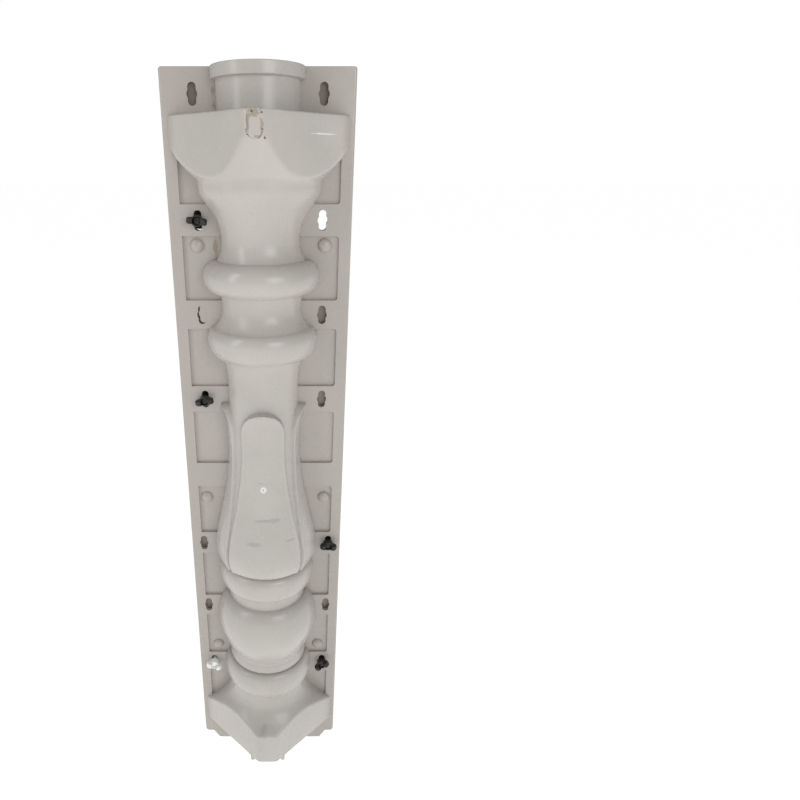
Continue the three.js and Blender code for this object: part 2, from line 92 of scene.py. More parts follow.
def patches(material, places):
    """Masks of several patches in one material, taken together with Maximum."""
    nodes, links = material.node_tree.nodes, material.node_tree.links
    place = nodes.new("ShaderNodeTexCoord")
    whole = None
    for centre, reach, breakup, grain in places:
        patch = nodes.new("ShaderNodeGroup")
        patch.node_tree = stain_patch
        patch.inputs["Centre"].default_value = centre
        patch.inputs["Reach"].default_value = reach
        patch.inputs["Breakup"].default_value = breakup
        patch.inputs["Grain"].default_value = grain
        links.new(place.outputs["Object"], patch.inputs["Position"])
        if whole is None:
            whole = patch.outputs["Mask"]
            continue
        both = nodes.new("ShaderNodeMath")
        both.operation = "MAXIMUM"
        links.new(whole, both.inputs[0])
        links.new(patch.outputs["Mask"], both.inputs[1])
        whole = both.outputs["Value"]
    return whole


def tinted(material, base, mask, tint, strength):
    """A base colour with a tint laid over it by a mask, on the Mix node's colour sockets."""
    nodes, links = material.node_tree.nodes, material.node_tree.links
    fade = nodes.new("ShaderNodeMath")
    fade.operation = "MULTIPLY"
    fade.inputs[1].default_value = strength
    links.new(mask, fade.inputs[0])
    mix = nodes.new("ShaderNodeMix")
    mix.data_type = "RGBA"
    links.new(fade.outputs["Value"], mix.inputs["Factor"])
    links.new(base, mix.inputs[6])
    mix.inputs[7].default_value = tint
    return mix.outputs[2]


def seam_group():
    """A mask round the parting plane: 1 up to the full distance from it, 0 past the clear one."""
    group = bpy.data.node_groups.new("near the seam", "ShaderNodeTree")
    face = group.interface
    face.new_socket("Position", in_out="INPUT", socket_type="NodeSocketVector")
    face.new_socket("Clear", in_out="INPUT", socket_type="NodeSocketFloat")
    face.new_socket("Full", in_out="INPUT", socket_type="NodeSocketFloat")
    face.new_socket("Mask", in_out="OUTPUT", socket_type="NodeSocketFloat")
    nodes, links = group.nodes, group.links
    enter = nodes.new("NodeGroupInput")
    leave = nodes.new("NodeGroupOutput")
    parts = nodes.new("ShaderNodeSeparateXYZ")
    away = nodes.new("ShaderNodeMath")
    away.operation = "ABSOLUTE"
    fade = nodes.new("ShaderNodeMapRange")
    fade.interpolation_type = "SMOOTHSTEP"
    links.new(enter.outputs["Position"], parts.inputs["Vector"])
    links.new(parts.outputs["Y"], away.inputs[0])
    links.new(enter.outputs["Clear"], fade.inputs["From Min"])
    links.new(enter.outputs["Full"], fade.inputs["From Max"])
    links.new(away.outputs["Value"], fade.inputs["Value"])
    links.new(fade.outputs["Result"], leave.inputs["Mask"])
    return group


seam_mask = seam_group()


def near_seam(material, place, clear, full):
    """The mask round the parting plane, placed in a material with its own distances."""
    mask = material.node_tree.nodes.new("ShaderNodeGroup")
    mask.node_tree = seam_mask
    mask.inputs["Clear"].default_value = clear
    mask.inputs["Full"].default_value = full
    material.node_tree.links.new(place.outputs["Object"], mask.inputs["Position"])
    return mask.outputs["Mask"]


def noise(tree, position, scale, detail):
    """A noise texture in a material or a group, on the piece's own coordinates."""
    texture = tree.nodes.new("ShaderNodeTexNoise")
    texture.inputs["Scale"].default_value = scale
    texture.inputs["Detail"].default_value = detail
    tree.links.new(position, texture.inputs["Vector"])
    return texture.outputs["Fac"]


def mottle_group():
    """The plastic's own cloudiness: its tone, its gloss and the ripple of its surface."""
    group = bpy.data.node_groups.new("ivory mottle", "ShaderNodeTree")
    face = group.interface
    face.new_socket("Position", in_out="INPUT", socket_type="NodeSocketVector")
    face.new_socket("Tone", in_out="OUTPUT", socket_type="NodeSocketColor")
    face.new_socket("Roughness", in_out="OUTPUT", socket_type="NodeSocketFloat")
    face.new_socket("Ripple", in_out="OUTPUT", socket_type="NodeSocketFloat")
    nodes, links = group.nodes, group.links
    enter = nodes.new("NodeGroupInput")
    leave = nodes.new("NodeGroupOutput")
    tone = nodes.new("ShaderNodeValToRGB")
    tone.color_ramp.elements[0].position = 0.3
    tone.color_ramp.elements[0].color = (0.48, 0.456, 0.42, 1)
    tone.color_ramp.elements[1].position = 0.72
    tone.color_ramp.elements[1].color = (0.54, 0.514, 0.474, 1)
    links.new(noise(group, enter.outputs["Position"], 16, 5), tone.inputs["Fac"])
    links.new(tone.outputs["Color"], leave.inputs["Tone"])
    gloss = nodes.new("ShaderNodeMapRange")
    gloss.inputs["From Min"].default_value = 0.3
    gloss.inputs["From Max"].default_value = 0.7
    gloss.inputs["To Min"].default_value = 0.2
    gloss.inputs["To Max"].default_value = 0.34
    links.new(noise(group, enter.outputs["Position"], 45, 3), gloss.inputs["Value"])
    links.new(gloss.outputs["Result"], leave.inputs["Roughness"])
    links.new(noise(group, enter.outputs["Position"], 60, 2), leave.inputs["Ripple"])
    return group


ivory_mottle = mottle_group()


def ivory_plastic(name, slurry, dark, grey, pale):
    """Clouded plastic with flanges greyed as painted shade and a dark seam, under its stains and marks."""
    material = bpy.data.materials.new(name)
    material.use_nodes = True
    nodes, links = material.node_tree.nodes, material.node_tree.links
    shader = nodes["Principled BSDF"]
    place = nodes.new("ShaderNodeTexCoord")
    mottle = nodes.new("ShaderNodeGroup")
    mottle.node_tree = ivory_mottle
    links.new(place.outputs["Object"], mottle.inputs["Position"])
    colour = mottle.outputs["Tone"]
    for mask, tint, strength in (
        # Painted shade: greys the flanges and the body's sides near the parting plane.
        (near_seam(material, place, 0.014, 0.006), (0.43, 0.4, 0.36, 1), 0.85),
        (near_seam(material, place, 0.0018, 0.0008), (0.2, 0.165, 0.125, 1), 0.8),
        (patches(material, grey), (0.3, 0.295, 0.28, 1), 0.4),
        (patches(material, slurry), (0.24, 0.17, 0.09, 1), 0.55),
        (patches(material, pale), (0.85, 0.84, 0.8, 1), 0.8),
        # The dark patches are specks, and on the front half also a painted shadow below the tongue.
        (patches(material, dark), (0.06, 0.05, 0.04, 1), 0.85),
    ):
        colour = tinted(material, colour, mask, tint, strength)
    links.new(colour, shader.inputs["Base Color"])
    links.new(mottle.outputs["Roughness"], shader.inputs["Roughness"])
    bump = nodes.new("ShaderNodeBump")
    bump.inputs["Strength"].default_value = 0.09
    bump.inputs["Distance"].default_value = 0.0004
    links.new(mottle.outputs["Ripple"], bump.inputs["Height"])
    links.new(bump.outputs["Normal"], shader.inputs["Normal"])
    return material


# A patch is (centre, reach, breakup, grain); the specks of the loop are a painted
# shadow round the lower half of the tongue.
tall = 0.8345
front_slurry = [
    ((-0.0405, -0.002, tall - 0.024), (0.0035, 0.005, 0.017), 1.3, 110),
    ((-0.0452, -0.004, tall - 0.158), (0.0028, 0.005, 0.013), 1.5, 130),
    ((0.0, -0.079, tall - 0.0425), (0.0068, 0.004, 0.0045), 2.4, 420),
    ((-0.0055, -0.079, tall - 0.050), (0.0018, 0.004, 0.0085), 1.8, 420),
    ((0.0062, -0.079, tall - 0.052), (0.0018, 0.004, 0.0085), 1.8, 420),
    ((0.002, -0.079, tall - 0.0615), (0.0060, 0.004, 0.0020), 2.0, 420),
]
front_specks_and_shadow = [
    ((-0.0018, -0.079, tall - 0.0423), (0.0013, 0.004, 0.0013), 0.3, 300),
    ((0.0062, -0.0785, tall - 0.043), (0.0013, 0.004, 0.0013), 0.3, 300),
    ((0.0085, -0.078, tall - 0.062), (0.0016, 0.004, 0.0022), 0.8, 400),
    ((0.003, -0.042, tall - 0.1275), (0.0008, 0.003, 0.0008), 0.2, 300),
    ((-0.0314, -0.0294, tall - 0.1423), (0.0010, 0.003, 0.0009), 0.2, 300),
    ((0.0363, -0.0212, tall - 0.2716), (0.0010, 0.003, 0.0010), 0.2, 300),
    ((-0.063, -0.0055, tall - 0.259), (0.0009, 0.002, 0.0009), 0.2, 300),
    ((0.0633, -0.0055, tall - 0.2836), (0.0009, 0.002, 0.0012), 0.2, 300),
    ((0.0681, -0.0055, tall - 0.6454), (0.0022, 0.002, 0.0030), 1.0, 300),
    ((-0.0001, -0.0437, tall - 0.4114), (0.0009, 0.003, 0.0009), 0.1, 300),
]
# Painted shadow: a loop of dark specks just below the lower half of the tongue.
for step in range(13):
    turn = pi + pi * step / 12
    at = (0.0068 * cos(turn), -0.0785, tall - 0.0555 + 0.0070 * sin(turn))
    front_specks_and_shadow.append((at, (0.0011, 0.003, 0.0009), 1.4, 900 + 40 * step))
front_grey = [
    ((0.008, -0.050, tall - 0.4470), (0.024, 0.010, 0.0024), 2.0, 160),
    ((-0.010, -0.055, tall - 0.4745), (0.013, 0.008, 0.0032), 2.0, 160),
    ((0.030, -0.0475, tall - 0.4731), (0.009, 0.008, 0.0013), 0.9, 200),
    ((-0.0178, -0.038, tall - 0.3175), (0.0012, 0.004, 0.0050), 0.9, 200),
    ((-0.0026, -0.0428, tall - 0.4039), (0.0045, 0.004, 0.0010), 1.5, 400),
    ((-0.006, -0.073, tall - 0.740), (0.010, 0.012, 0.016), 2.0, 120),
    ((0.004, -0.060, tall - 0.560), (0.016, 0.012, 0.0020), 1.8, 150),
]
front_pale = [
    ((-0.0001, -0.0437, tall - 0.4114), (0.0046, 0.006, 0.0046), 0.15, 200),
    ((0.0575, -0.0273, tall - 0.0563), (0.0180, 0.018, 0.0008), 0.9, 160),
]
front_ivory = ivory_plastic("ivory plastic front", front_slurry, front_specks_and_shadow, front_grey, front_pale)
back_ivory = ivory_plastic(
    "ivory plastic back",
    [((0.041, 0.002, tall - 0.03), (0.004, 0.004, 0.016), 1.2, 90)],
    [((0.0, 0.08, tall - 0.06), (0.002, 0.004, 0.002), 0.3, 300)],
    [((-0.01, 0.06, tall - 0.46), (0.016, 0.010, 0.004), 2.0, 160)],
    [((0.01, 0.06, tall - 0.45), (0.006, 0.006, 0.003), 0.6, 200)],
)


# Body of a half shell.
# Each half is one moulding with a 3 mm wall: a rimmed pouring neck, a square block,
# the turned members, the tulip with its petals, the bulb and the square plinth.
wall = 0.003
seam = 0.00015
flange_depth = 0.0055
half_diagonal = 0.12 / sqrt(2)
block_flat, plinth_flat = 0.007, 0.012
corner_plane = half_diagonal - block_flat
plinth_plane = half_diagonal - plinth_flat
face_start = 0.0845
square_only = 200  # a radius in mm that leaves the shape to the square
member_round, turned_round = 0.002, 0.0015


def curve_on(line, *controls, steps=6):
    """Goes on from the last point along a Bezier curve; a point is (radius, depth) in mm."""
    points = [Vector(line[-1]), *[Vector(c) for c in controls]]
    for i in range(1, steps + 1):
        ring = list(points)
        while len(ring) > 1:
            ring = [a.lerp(b, i / steps) for a, b in zip(ring, ring[1:])]
        line.append(tuple(ring[0]))


def bead_on(line, depth, start, widest, end, above, below, steps=7):
    """A half-round member between two radii."""
    round_off = 0.5523  # makes a Bezier curve a quarter of an ellipse
    middle = depth + above
    line.append((start, depth))
    curve_on(line, (start + round_off * (widest - start), depth), (widest, middle - round_off * above),
             (widest, middle), steps=steps)
    curve_on(line, (widest, middle + round_off * below), (end + round_off * (widest - end), middle + below),
             (end, middle + below), steps=steps)


neck_line = [(42.5, 0)]
curve_on(neck_line, (43.5, 0), (43.5, 1), steps=3)
neck_line.append((43.5, 5.5))
neck_line.append((43.5, 9.7))
curve_on(neck_line, (43.5, 11), (42.3, 11), steps=3)
neck_line.append((40.2, 11.2))
curve_on(neck_line, (39.1, 11.3), (39.1, 12.4), steps=2)
neck_line += [(39.1, 20), (39.1, 30), (39.1, 38.7)]
curve_on(neck_line, (39.1, 39.7), (40.1, 39.7), steps=3)

block_line = [(square_only, depth) for depth in (39.7, 40.0, 41.2, 47, 53)] + [(89, 60)]
curve_on(block_line, (77, 80.5), (59.6, 95), steps=22)
block_line.append((59.3, 99.3))

turned_line = [(59.3, 99.3), (59.3, 102.0)]
curve_on(turned_line, (59.3, 115.4), (39.3, 122.7), (39.3, 151.3), steps=14)
curve_on(turned_line, (39.3, 161.2), (44.6, 169.3))
bead_on(turned_line, 169.3, 45.5, 58.9, 44, 16.4, 16.6)
curve_on(turned_line, (40.9, 206.8), (40.9, 217.3))
curve_on(turned_line, (40.9, 228), (50, 236.8))
bead_on(turned_line, 236.8, 50, 57.4, 43, 12.5, 20.5)
curve_on(turned_line, (38.2, 279.3), (38.2, 303.8))

tulip_top, tip, cup_end = 364.8, 321.8, 521.8
tulip_line = [(38.2, 303.8), (38.2, 312)]
tulip_line += [(38.2, 318 + 0.95 * i) for i in range(14)]
tulip_line += [(38.2, 332 + 2 * i) for i in range(16)]
curve_on(tulip_line, (38.2, tulip_top), (38.2, tulip_top), steps=1)
curve_on(tulip_line, (38.2, 429.6), (58.2, 476.9), (58.2, 499.8), steps=44)
curve_on(tulip_line, (58.2, 513.9), (53.5, cup_end), steps=12)

lower_line = [(49.5, 523.6), (49.5, 526.4)]
bead_on(lower_line, 526.4, 50.5, 56.8, 47.5, 12, 22.5)
curve_on(lower_line, (46.8, 566.5), (46.8, 574.9))
curve_on(lower_line, (54.6, 574.9), (61, 590.1), (61, 608.9), steps=11)
curve_on(lower_line, (61, 629.9), (51.2, 647.9), (47, 658.9), steps=11)
lower_line += [(48.2, 661.5), (48.6, 664.5), (48.6, 670.4), (48.2, 671), (46.5, 671.3), (46.3, 672.9)]
bead_on(lower_line, 672.9, 48.8, 55.9, 48.5, 17, 20)

plinth_line = [(49.5, 716.9)]
curve_on(plinth_line, (50.5, 740.1), (89, 759.9), steps=24)
plinth_line += [(square_only, depth) for depth in (760.5, 772, 784, 794.7, 795.6, 795.9)]
foot_line = [(30.8, 795.9), (30, 796.6), (30, 812), (30, 833.9), (29.5, 834.5)]


def blunted(a, b, reach):
    """The smaller of two lengths, with the corner between them rounded off."""
    share = max(reach - abs(a - b), 0) / reach
    return min(a, b) - share * share * reach / 4


def square_radius(angle, plane, flat):
    """How far a square member reaches at an angle; its front corner is cut flat at a plane."""
    across, out = abs(cos(angle)), abs(sin(angle))
    run, fall = face_start - flat, plane - flange_depth
    face = (fall * face_start + run * flange_depth) / (fall * across + run * out)
    side = half_diagonal / max(across, 1e-6)
    return blunted(min(face, side), plane / max(out, 1e-6), member_round)


front_flare = [(57, 82), (61.9, 76.3), (74.5, 70.4), (81.5, 66.5), (88.6, 62.2), (92.4, 60), (95, 59.6)]


def flared(angle, radius, depth):
    """The block's turned side, which starts lower and falls steeper towards the front corner."""
    if not front_flare[0][0] <= depth <= front_flare[-1][0]:
        return radius
    for (above, big), (below, small) in zip(front_flare, front_flare[1:]):
        if depth <= below:
            steep = big + (small - big) * (depth - above) / (below - above)
            break
    share = min(1, max(0, (pi / 4 - abs(pi / 2 - angle)) / (pi / 5)))
    share = share * share * (3 - 2 * share)
    eased = radius + share * (steep - radius)
    return min(radius, eased) if radius < square_only else eased


petal_half = radians(43.5)
arch_height, arch_share, spread_share = 30, 0.84, 0.16


def petal_proud(angle, radius, depth):
    """How far the petals stand off the cup, in mm: a lip at the tip and a raised rim."""
    below = depth - tip
    if below < -2:
        return 0
    off = min(abs(angle - middle) for middle in (0, pi / 2, pi))
    arch = min(1, max(0, below) / arch_height)
    spread = min(1, max(0, (below - 60) / 90))
    bow = sqrt(1 - (1 - arch) ** 2)
    half = petal_half * (arch_share * bow + spread_share * spread)
    slope = petal_half * arch_share * (1 - arch) / arch_height / max(0.12, bow) if arch < 1 else 0
    inside = (half - off) * radius / hypot(1, radius * slope)
    if below < 0:
        inside = below
    step = min(1, max(0, (inside + 0.4) / 1.2))
    step = step * step * (3 - 2 * step)
    lip = 6.7 * exp(-max(0, below) / 12)
    rim = 0.9 * exp(-(((inside - 2.6) / 1.3) ** 2))
    hollow = 0.6 * min(1, max(0, (inside - 4) / 8)) * min(1, below / 60)
    return step * (2.5 + lip + rim - hollow)


def station(line, form, edge=()):
    """The line's points as rows (radius, depth, form, how far an edge is rounded in)."""
    return [(radius, depth, form, edge[i] if i < len(edge) else 0) for i, (radius, depth) in enumerate(line)]


plinth_edge = [0] * (len(plinth_line) - 3) + [0, 0.6, 1.8]
stations = station(neck_line, "round") + station(block_line, "block", (1.8, 0.6, 0))
stations += station(turned_line[1:], "round") + station(tulip_line[1:], "petals")
stations += station(lower_line, "round") + station(plinth_line[1:], "plinth", plinth_edge[1:])
stations += station(foot_line, "round")

# Degrees from the seam to the front; the steps are closest over the petals' rims.
quarter = [2 * i for i in range(12)] + [24 + 1.05 * i for i in range(40)] + [66 + 2 * i for i in range(9)]
quarter += [84 + 1.2 * i for i in range(5)]
angles = [radians(a) for a in quarter] + [pi / 2] + [pi - radians(a) for a in reversed(quarter)]


def skin_radius(angle, radius, depth, form, edge):
    """How far out the skin stands at an angle of a row, in metres."""
    if form == "block":
        radius = flared(angle, radius, depth)
        return blunted(square_radius(angle, corner_plane, block_flat), radius / 1000, turned_round) - edge / 1000
    if form == "plinth":
        return blunted(square_radius(angle, plinth_plane, plinth_flat), radius / 1000, turned_round) - edge / 1000
    if form == "petals":
        return (radius + petal_proud(angle, radius, depth)) / 1000
    return radius / 1000


bpy.ops.object.select_all(action="DESELECT")
bpy.ops.mesh.primitive_grid_add(x_subdivisions=len(angles) - 1, y_subdivisions=len(stations) - 1, size=1)
body = bpy.context.object
for i, vertex in enumerate(body.data.vertices):
    row, column = divmod(i, len(angles))
    angle = angles[column]
    radius, depth, form, edge = stations[row]
    reach = skin_radius(angle, radius, depth, form, edge)
    vertex.co = (reach * cos(angle), min(-seam, -reach * sin(angle)), tall - depth / 1000)
bpy.ops.object.mode_set(mode="EDIT")
bpy.ops.mesh.select_all(action="SELECT")
bpy.ops.mesh.remove_doubles(threshold=0.00002)
bpy.ops.object.mode_set(mode="OBJECT")


def alone(piece):
    bpy.ops.object.select_all(action="DESELECT")
    piece.select_set(True)
    bpy.context.view_layer.objects.active = piece


def finished(piece, kind, **settings):
    """Adds a modifier and applies it."""
    alone(piece)
    modifier = piece.modifiers.new(kind, kind)
    for name, value in settings.items():
        setattr(modifier, name, value)
    bpy.ops.object.modifier_apply(modifier=modifier.name)


def fused(piece, other, operation="UNION"):
    """Adds one closed solid to another, or cuts it away, and drops the second."""
    finished(piece, "BOOLEAN", object=other, operation=operation, solver="MANIFOLD")
    bpy.data.objects.remove(other)


foremost = min(body.data.polygons, key=lambda face: face.center.y)
if foremost.normal.y > 0:
    body.data.flip_normals()
finished(body, "SOLIDIFY", thickness=wall, offset=-1, use_even_offset=True, thickness_clamp=0)
for vertex in body.data.vertices:
    vertex.co.y = min(vertex.co.y, -seam)


# Tongue and ribs of a half shell.
# A U-shaped tongue stands proud of the block's front corner, and two ribs tie the foot to
# the underside of the plinth. They are moulded with the half, and so are fused to it.
tongue_radius, tongue_thick, tongue_out = 0.00565, 0.004, 0.00105
tongue_middle, tongue_shoulder, tongue_crown = tall - 0.0546, tall - 0.0405, tall - 0.0398
rib_x, rib_size = 0.0195, (0.005, 0.043, 0.009)


def joined(pieces):
    alone(pieces[0])
    for piece in pieces[1:]:
        piece.select_set(True)
    bpy.ops.object.join()
    return bpy.context.object


bpy.ops.object.select_all(action="DESELECT")
bpy.ops.mesh.primitive_cylinder_add(vertices=48, radius=tongue_radius, depth=tongue_thick,
                                    location=(0, -corner_plane + tongue_out, tongue_middle), rotation=(pi / 2, 0, 0))
tongue = bpy.context.object
bpy.ops.object.transform_apply()
for vertex in tongue.data.vertices:
    if vertex.co.z > tongue_middle:
        vertex.co.z = tongue_shoulder if abs(vertex.co.x) > 0.005 else tongue_crown
bpy.ops.object.mode_set(mode="EDIT")
bpy.ops.mesh.select_all(action="SELECT")
bpy.ops.mesh.dissolve_limited(angle_limit=radians(0.5))
bpy.ops.object.mode_set(mode="OBJECT")
finished(tongue, "BEVEL", width=0.0004, segments=2, limit_method="ANGLE", angle_limit=radians(60))

ribs = []
for side in (-1, 1):
    bpy.ops.object.select_all(action="DESELECT")
    bpy.ops.mesh.primitive_cube_add(size=1, location=(side * rib_x, -0.0435, 0.0366), scale=rib_size)
    rib = bpy.context.object
    bpy.ops.object.transform_apply()
    finished(rib, "BEVEL", width=0.0008, segments=2)
    ribs.append(rib)
small_forms = joined([tongue, *ribs])


# Side flange of a half shell.
# A flat rib either side of the body closes the mould: a rounded border with recessed
# panels, cross bars with keyhole slots for the bolts, and small domes that locate it.
flange_half, flange_face, flange_back = 0.0895, -flange_depth, -0.0003
edge_round = [(0.0022, 0), (0.0012, 0.00025), (0.00045, 0.0008), (0, 0.0018)]


def flange_reach(depth):
    """How far out the flange's edge is at a depth in mm."""
    if depth < 2.5:
        return flange_half - 0.0025 + sqrt(max(0, 2.5 ** 2 - (2.5 - depth) ** 2)) / 1000
    if depth <= 818.5:
        return flange_half
    if depth <= 821.5:
        return flange_half - 0.003 + sqrt(max(0, 9 - (depth - 818.5) ** 2)) / 1000
    return flange_half - 0.010 - 0.008 * (depth - 821.7) / 12.8


def inner_edge(depth, height):
    """Where the middle of the body's wall is at a depth and at a height over the seam."""
    before = stations[0]
    for now in stations:
        if now[1] >= depth:
            break
        before = now
    share = min(1, (depth - before[1]) / max(1e-6, now[1] - before[1]))
    x = 0.05
    for _ in range(6):
        ends = [skin_radius(atan2(height, x), *row) for row in (before, now)]
        x = sqrt((ends[0] + share * (ends[1] - ends[0]) - 0.0014) ** 2 - height ** 2)
    return x


flange_rows = [0.02, 0.35, 1, 1.8, 2.5] + [4 + 2 * i for i in range(410)]
flange_rows = [d for d in flange_rows if d < 818.2] + [818.5, 820, 820.8, 821.3, 821.5, 821.7, 826, 830, 834.48]


def flange_plate(side):
    """The closed plate at one side of the body, from the middle of its wall outwards."""
    bpy.ops.object.select_all(action="DESELECT")
    bpy.ops.mesh.primitive_grid_add(x_subdivisions=7, y_subdivisions=len(flange_rows) - 1, size=1)
    plate = bpy.context.object
    for i, vertex in enumerate(plate.data.vertices):
        row, column = divmod(i, 8)
        depth = flange_rows[row]
        outside = flange_reach(depth)
        inside, raised = (min(inner_edge(depth, height), outside - 0.0025) for height in (0, -flange_face))
        section = [(inside, flange_back), (raised, flange_face)]
        section += [(outside - x, flange_face + y) for x, y in edge_round]
        section += [(outside, flange_back), (inside, flange_back)]
        x, y = section[column]
        vertex.co = (side * x, y, tall - depth / 1000)
    bpy.ops.object.mode_set(mode="EDIT")
    bpy.ops.mesh.select_all(action="SELECT")
    bpy.ops.mesh.remove_doubles(threshold=0.00001)
    bpy.ops.mesh.select_all(action="SELECT")
    bpy.ops.mesh.fill_holes(sides=0)
    bpy.ops.mesh.select_all(action="SELECT")
    bpy.ops.mesh.normals_make_consistent(inside=False)
    bpy.ops.object.mode_set(mode="OBJECT")
    solid = bmesh.new()
    solid.from_mesh(plate.data)
    if solid.calc_volume(signed=True) < 0:
        plate.data.flip_normals()
    solid.free()
    return plate


bar_depths = [132 + 93.6 * i for i in range(7)]
panel_ends = [53] + [d + s for d in bar_depths for s in (-15, 15)] + [774]
dome_radius, dome_flatness, dome_sunk = 0.007, 0.63, 0.0024
slot_half_width, slot_lengthened, slot_eye = 0.00385, 0.0059, 0.005
slot_places = {"neck": (0.060, 22)}
for i, x in enumerate((0.061, 0.062, 0.0635, None, 0.075, 0.074, 0.071)):
    if x is not None:
        slot_places[i] = (x, bar_depths[i])


def panel_cutter(side, upper, lower):
    """A recessed panel: a box with rounded corners, open towards the body."""
    high, low = tall - upper / 1000, tall - lower / 1000
    bpy.ops.object.select_all(action="DESELECT")
    bpy.ops.mesh.primitive_cube_add(size=1, location=(side * 0.0485, -0.0065, (high + low) / 2),
                                    scale=(0.058, 0.008, high - low))
    cutter = bpy.context.object
    bpy.ops.object.transform_apply()
    bpy.ops.object.mode_set(mode="EDIT")
    mesh = bmesh.from_edit_mesh(cutter.data)
    for edge in mesh.edges:
        a, b = edge.verts
        edge.select = abs(a.co.y - b.co.y) > 0.005 and side * a.co.x > 0.05
    bpy.ops.mesh.bevel(offset=0.003, segments=6)
    mesh = bmesh.from_edit_mesh(cutter.data)
    for edge in mesh.edges:
        edge.select = all(v.co.y > -0.003 for v in edge.verts) and all(side * v.co.x > 0.03 for v in edge.verts)
    bpy.ops.mesh.bevel(offset=0.0006, segments=3)
    bpy.ops.object.mode_set(mode="OBJECT")
    return cutter


def slot_cutters(x, depth):
    """A keyhole slot: a long slot with a round eye in its middle."""
    cutters = []
    for radius, lengthen in ((slot_half_width, slot_lengthened), (slot_eye, 0)):
        bpy.ops.object.select_all(action="DESELECT")
        bpy.ops.mesh.primitive_cylinder_add(vertices=40, radius=radius, depth=0.03,
                                            location=(x, 0, tall - depth / 1000), rotation=(pi / 2, 0, 0))
        cutter = bpy.context.object
        bpy.ops.object.transform_apply()
        middle = tall - depth / 1000
        for vertex in cutter.data.vertices:
            if abs(vertex.co.z - middle) > 1e-5:
                vertex.co.z += lengthen if vertex.co.z > middle else -lengthen
        cutters.append(cutter)
    return cutters


def dome(x, depth):
    """A low dome that stands on a panel."""
    bpy.ops.object.select_all(action="DESELECT")
    bpy.ops.mesh.primitive_uv_sphere_add(segments=32, ring_count=20, radius=dome_radius,
                                         location=(x, -dome_sunk, tall - depth / 1000),
                                         scale=(1, dome_flatness, 1))
    bump = bpy.context.object
    bpy.ops.object.transform_apply()
    bpy.ops.object.mode_set(mode="EDIT")
    bpy.ops.mesh.select_all(action="SELECT")
    bpy.ops.mesh.bisect(plane_co=(0, -0.0015, 0), plane_no=(0, 1, 0), clear_outer=True, use_fill=True)
    bpy.ops.object.mode_set(mode="OBJECT")
    return bump


dome_places = [(0.0635, bar_depths[0] + 24), (0.0685, bar_depths[3] + 31), (0.065, bar_depths[5] + 66)]


def flange(side, open_slots):
    """One side of the flange of the front half, with these of its slots cut through."""
    plate = flange_plate(side)
    for upper, lower in zip(panel_ends[::2], panel_ends[1::2]):
        fused(plate, panel_cutter(side, upper, lower), "DIFFERENCE")
    for x, depth in dome_places:
        fused(plate, dome(side * x, depth))
    for place in open_slots:
        x, depth = slot_places[place]
        for cutter in slot_cutters(side * x, depth):
            fused(plate, cutter, "DIFFERENCE")
    return plate


def flash():
    """Plastic left in one slot of the front half, which leaves a dark crescent."""
    x, depth = slot_places[1]
    filling = slot_cutters(-x + 0.0017, depth - 1.5)
    for part in filling:
        for vertex in part.data.vertices:
            vertex.co.y = -0.0046 if vertex.co.y < 0 else -0.0006
    fused(filling[0], filling[1])
    return filling[0]


def half_shell(name, material, slots_left, slots_right, has_flash):
    """The body copied, its flanges and small forms fused on, and its edges smoothed."""
    sides = [flange(-1, slots_left), flange(1, slots_right)]
    if has_flash:
        fused(sides[0], flash())
    alone(small_forms)
    bpy.ops.object.duplicate()
    extras = joined([bpy.context.object, *sides])
    alone(body)
    bpy.ops.object.duplicate()
    shell = bpy.context.object
    fused(shell, extras)
    shell.name = name
    shell.data.materials.clear()
    shell.data.materials.append(material)
    alone(shell)
    bpy.ops.object.shade_smooth_by_angle(angle=radians(50))
    finished(shell, "WEIGHTED_NORMAL", keep_sharp=True)
    return shell


every_slot = ["neck", 0, 1, 2, 4, 5, 6]
front_shell = half_shell("front_half_shell", front_ivory, every_slot, every_slot, True)
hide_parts("front_shell")
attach(front_shell, "mould")


# Back half shell.
# The same moulding turned half round. Only the slots that a bolt or daylight passes
# through are open in it; the rest were left closed in the moulding.
back_shell = half_shell("back_half_shell", back_ivory, [0, 4, 6], [0, 2, 6], False)
bpy.ops.object.select_all(action="DESELECT")
back_shell.data.transform(Matrix.Rotation(pi, 4, "Z"))
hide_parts("back_shell")
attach(back_shell, "mould")
bpy.data.objects.remove(body)
bpy.data.objects.remove(small_forms)


# Bolts and wing nuts.
# Moulded nylon clamping bolts pass through the slots from the back, and a wing nut with
# two fat lobes is run down each by hand. Four sets are black and one is white.
def fastener_plastic(name, colour, roughness, dust):
    """Matt nylon, speckled with dust."""
    material = bpy.data.materials.new(name)
    material.use_nodes = True
    nodes, links = material.node_tree.nodes, material.node_tree.links
    shader = nodes["Principled BSDF"]
    place = nodes.new("ShaderNodeTexCoord")
    ramp = nodes.new("ShaderNodeValToRGB")
    ramp.color_ramp.elements[0].position = 0.5
    ramp.color_ramp.elements[0].color = colour
    ramp.color_ramp.elements[1].position = 0.75
    ramp.color_ramp.elements[1].color = dust
    links.new(noise(material.node_tree, place.outputs["Object"], 220, 6), ramp.inputs["Fac"])
    links.new(ramp.outputs["Color"], shader.inputs["Base Color"])
    shader.inputs["Roughness"].default_value = roughness
    return material


black_nylon = fastener_plastic("black nylon", (0.012, 0.011, 0.01, 1), 0.5, (0.07, 0.06, 0.05, 1))
white_nylon = fastener_plastic("white nylon", (0.95, 0.945, 0.93, 1), 0.45, (0.86, 0.84, 0.8, 1))
clamp_face = 0.0058
bolt_radius, bolt_reach, head_radius, head_thick = 0.0035, 0.007, 0.009, 0.003
hub_radius, hub_height, nut_bore = 0.0056, 0.008, 0.0041
nut_half_span, nut_height = 0.00995, 0.01245


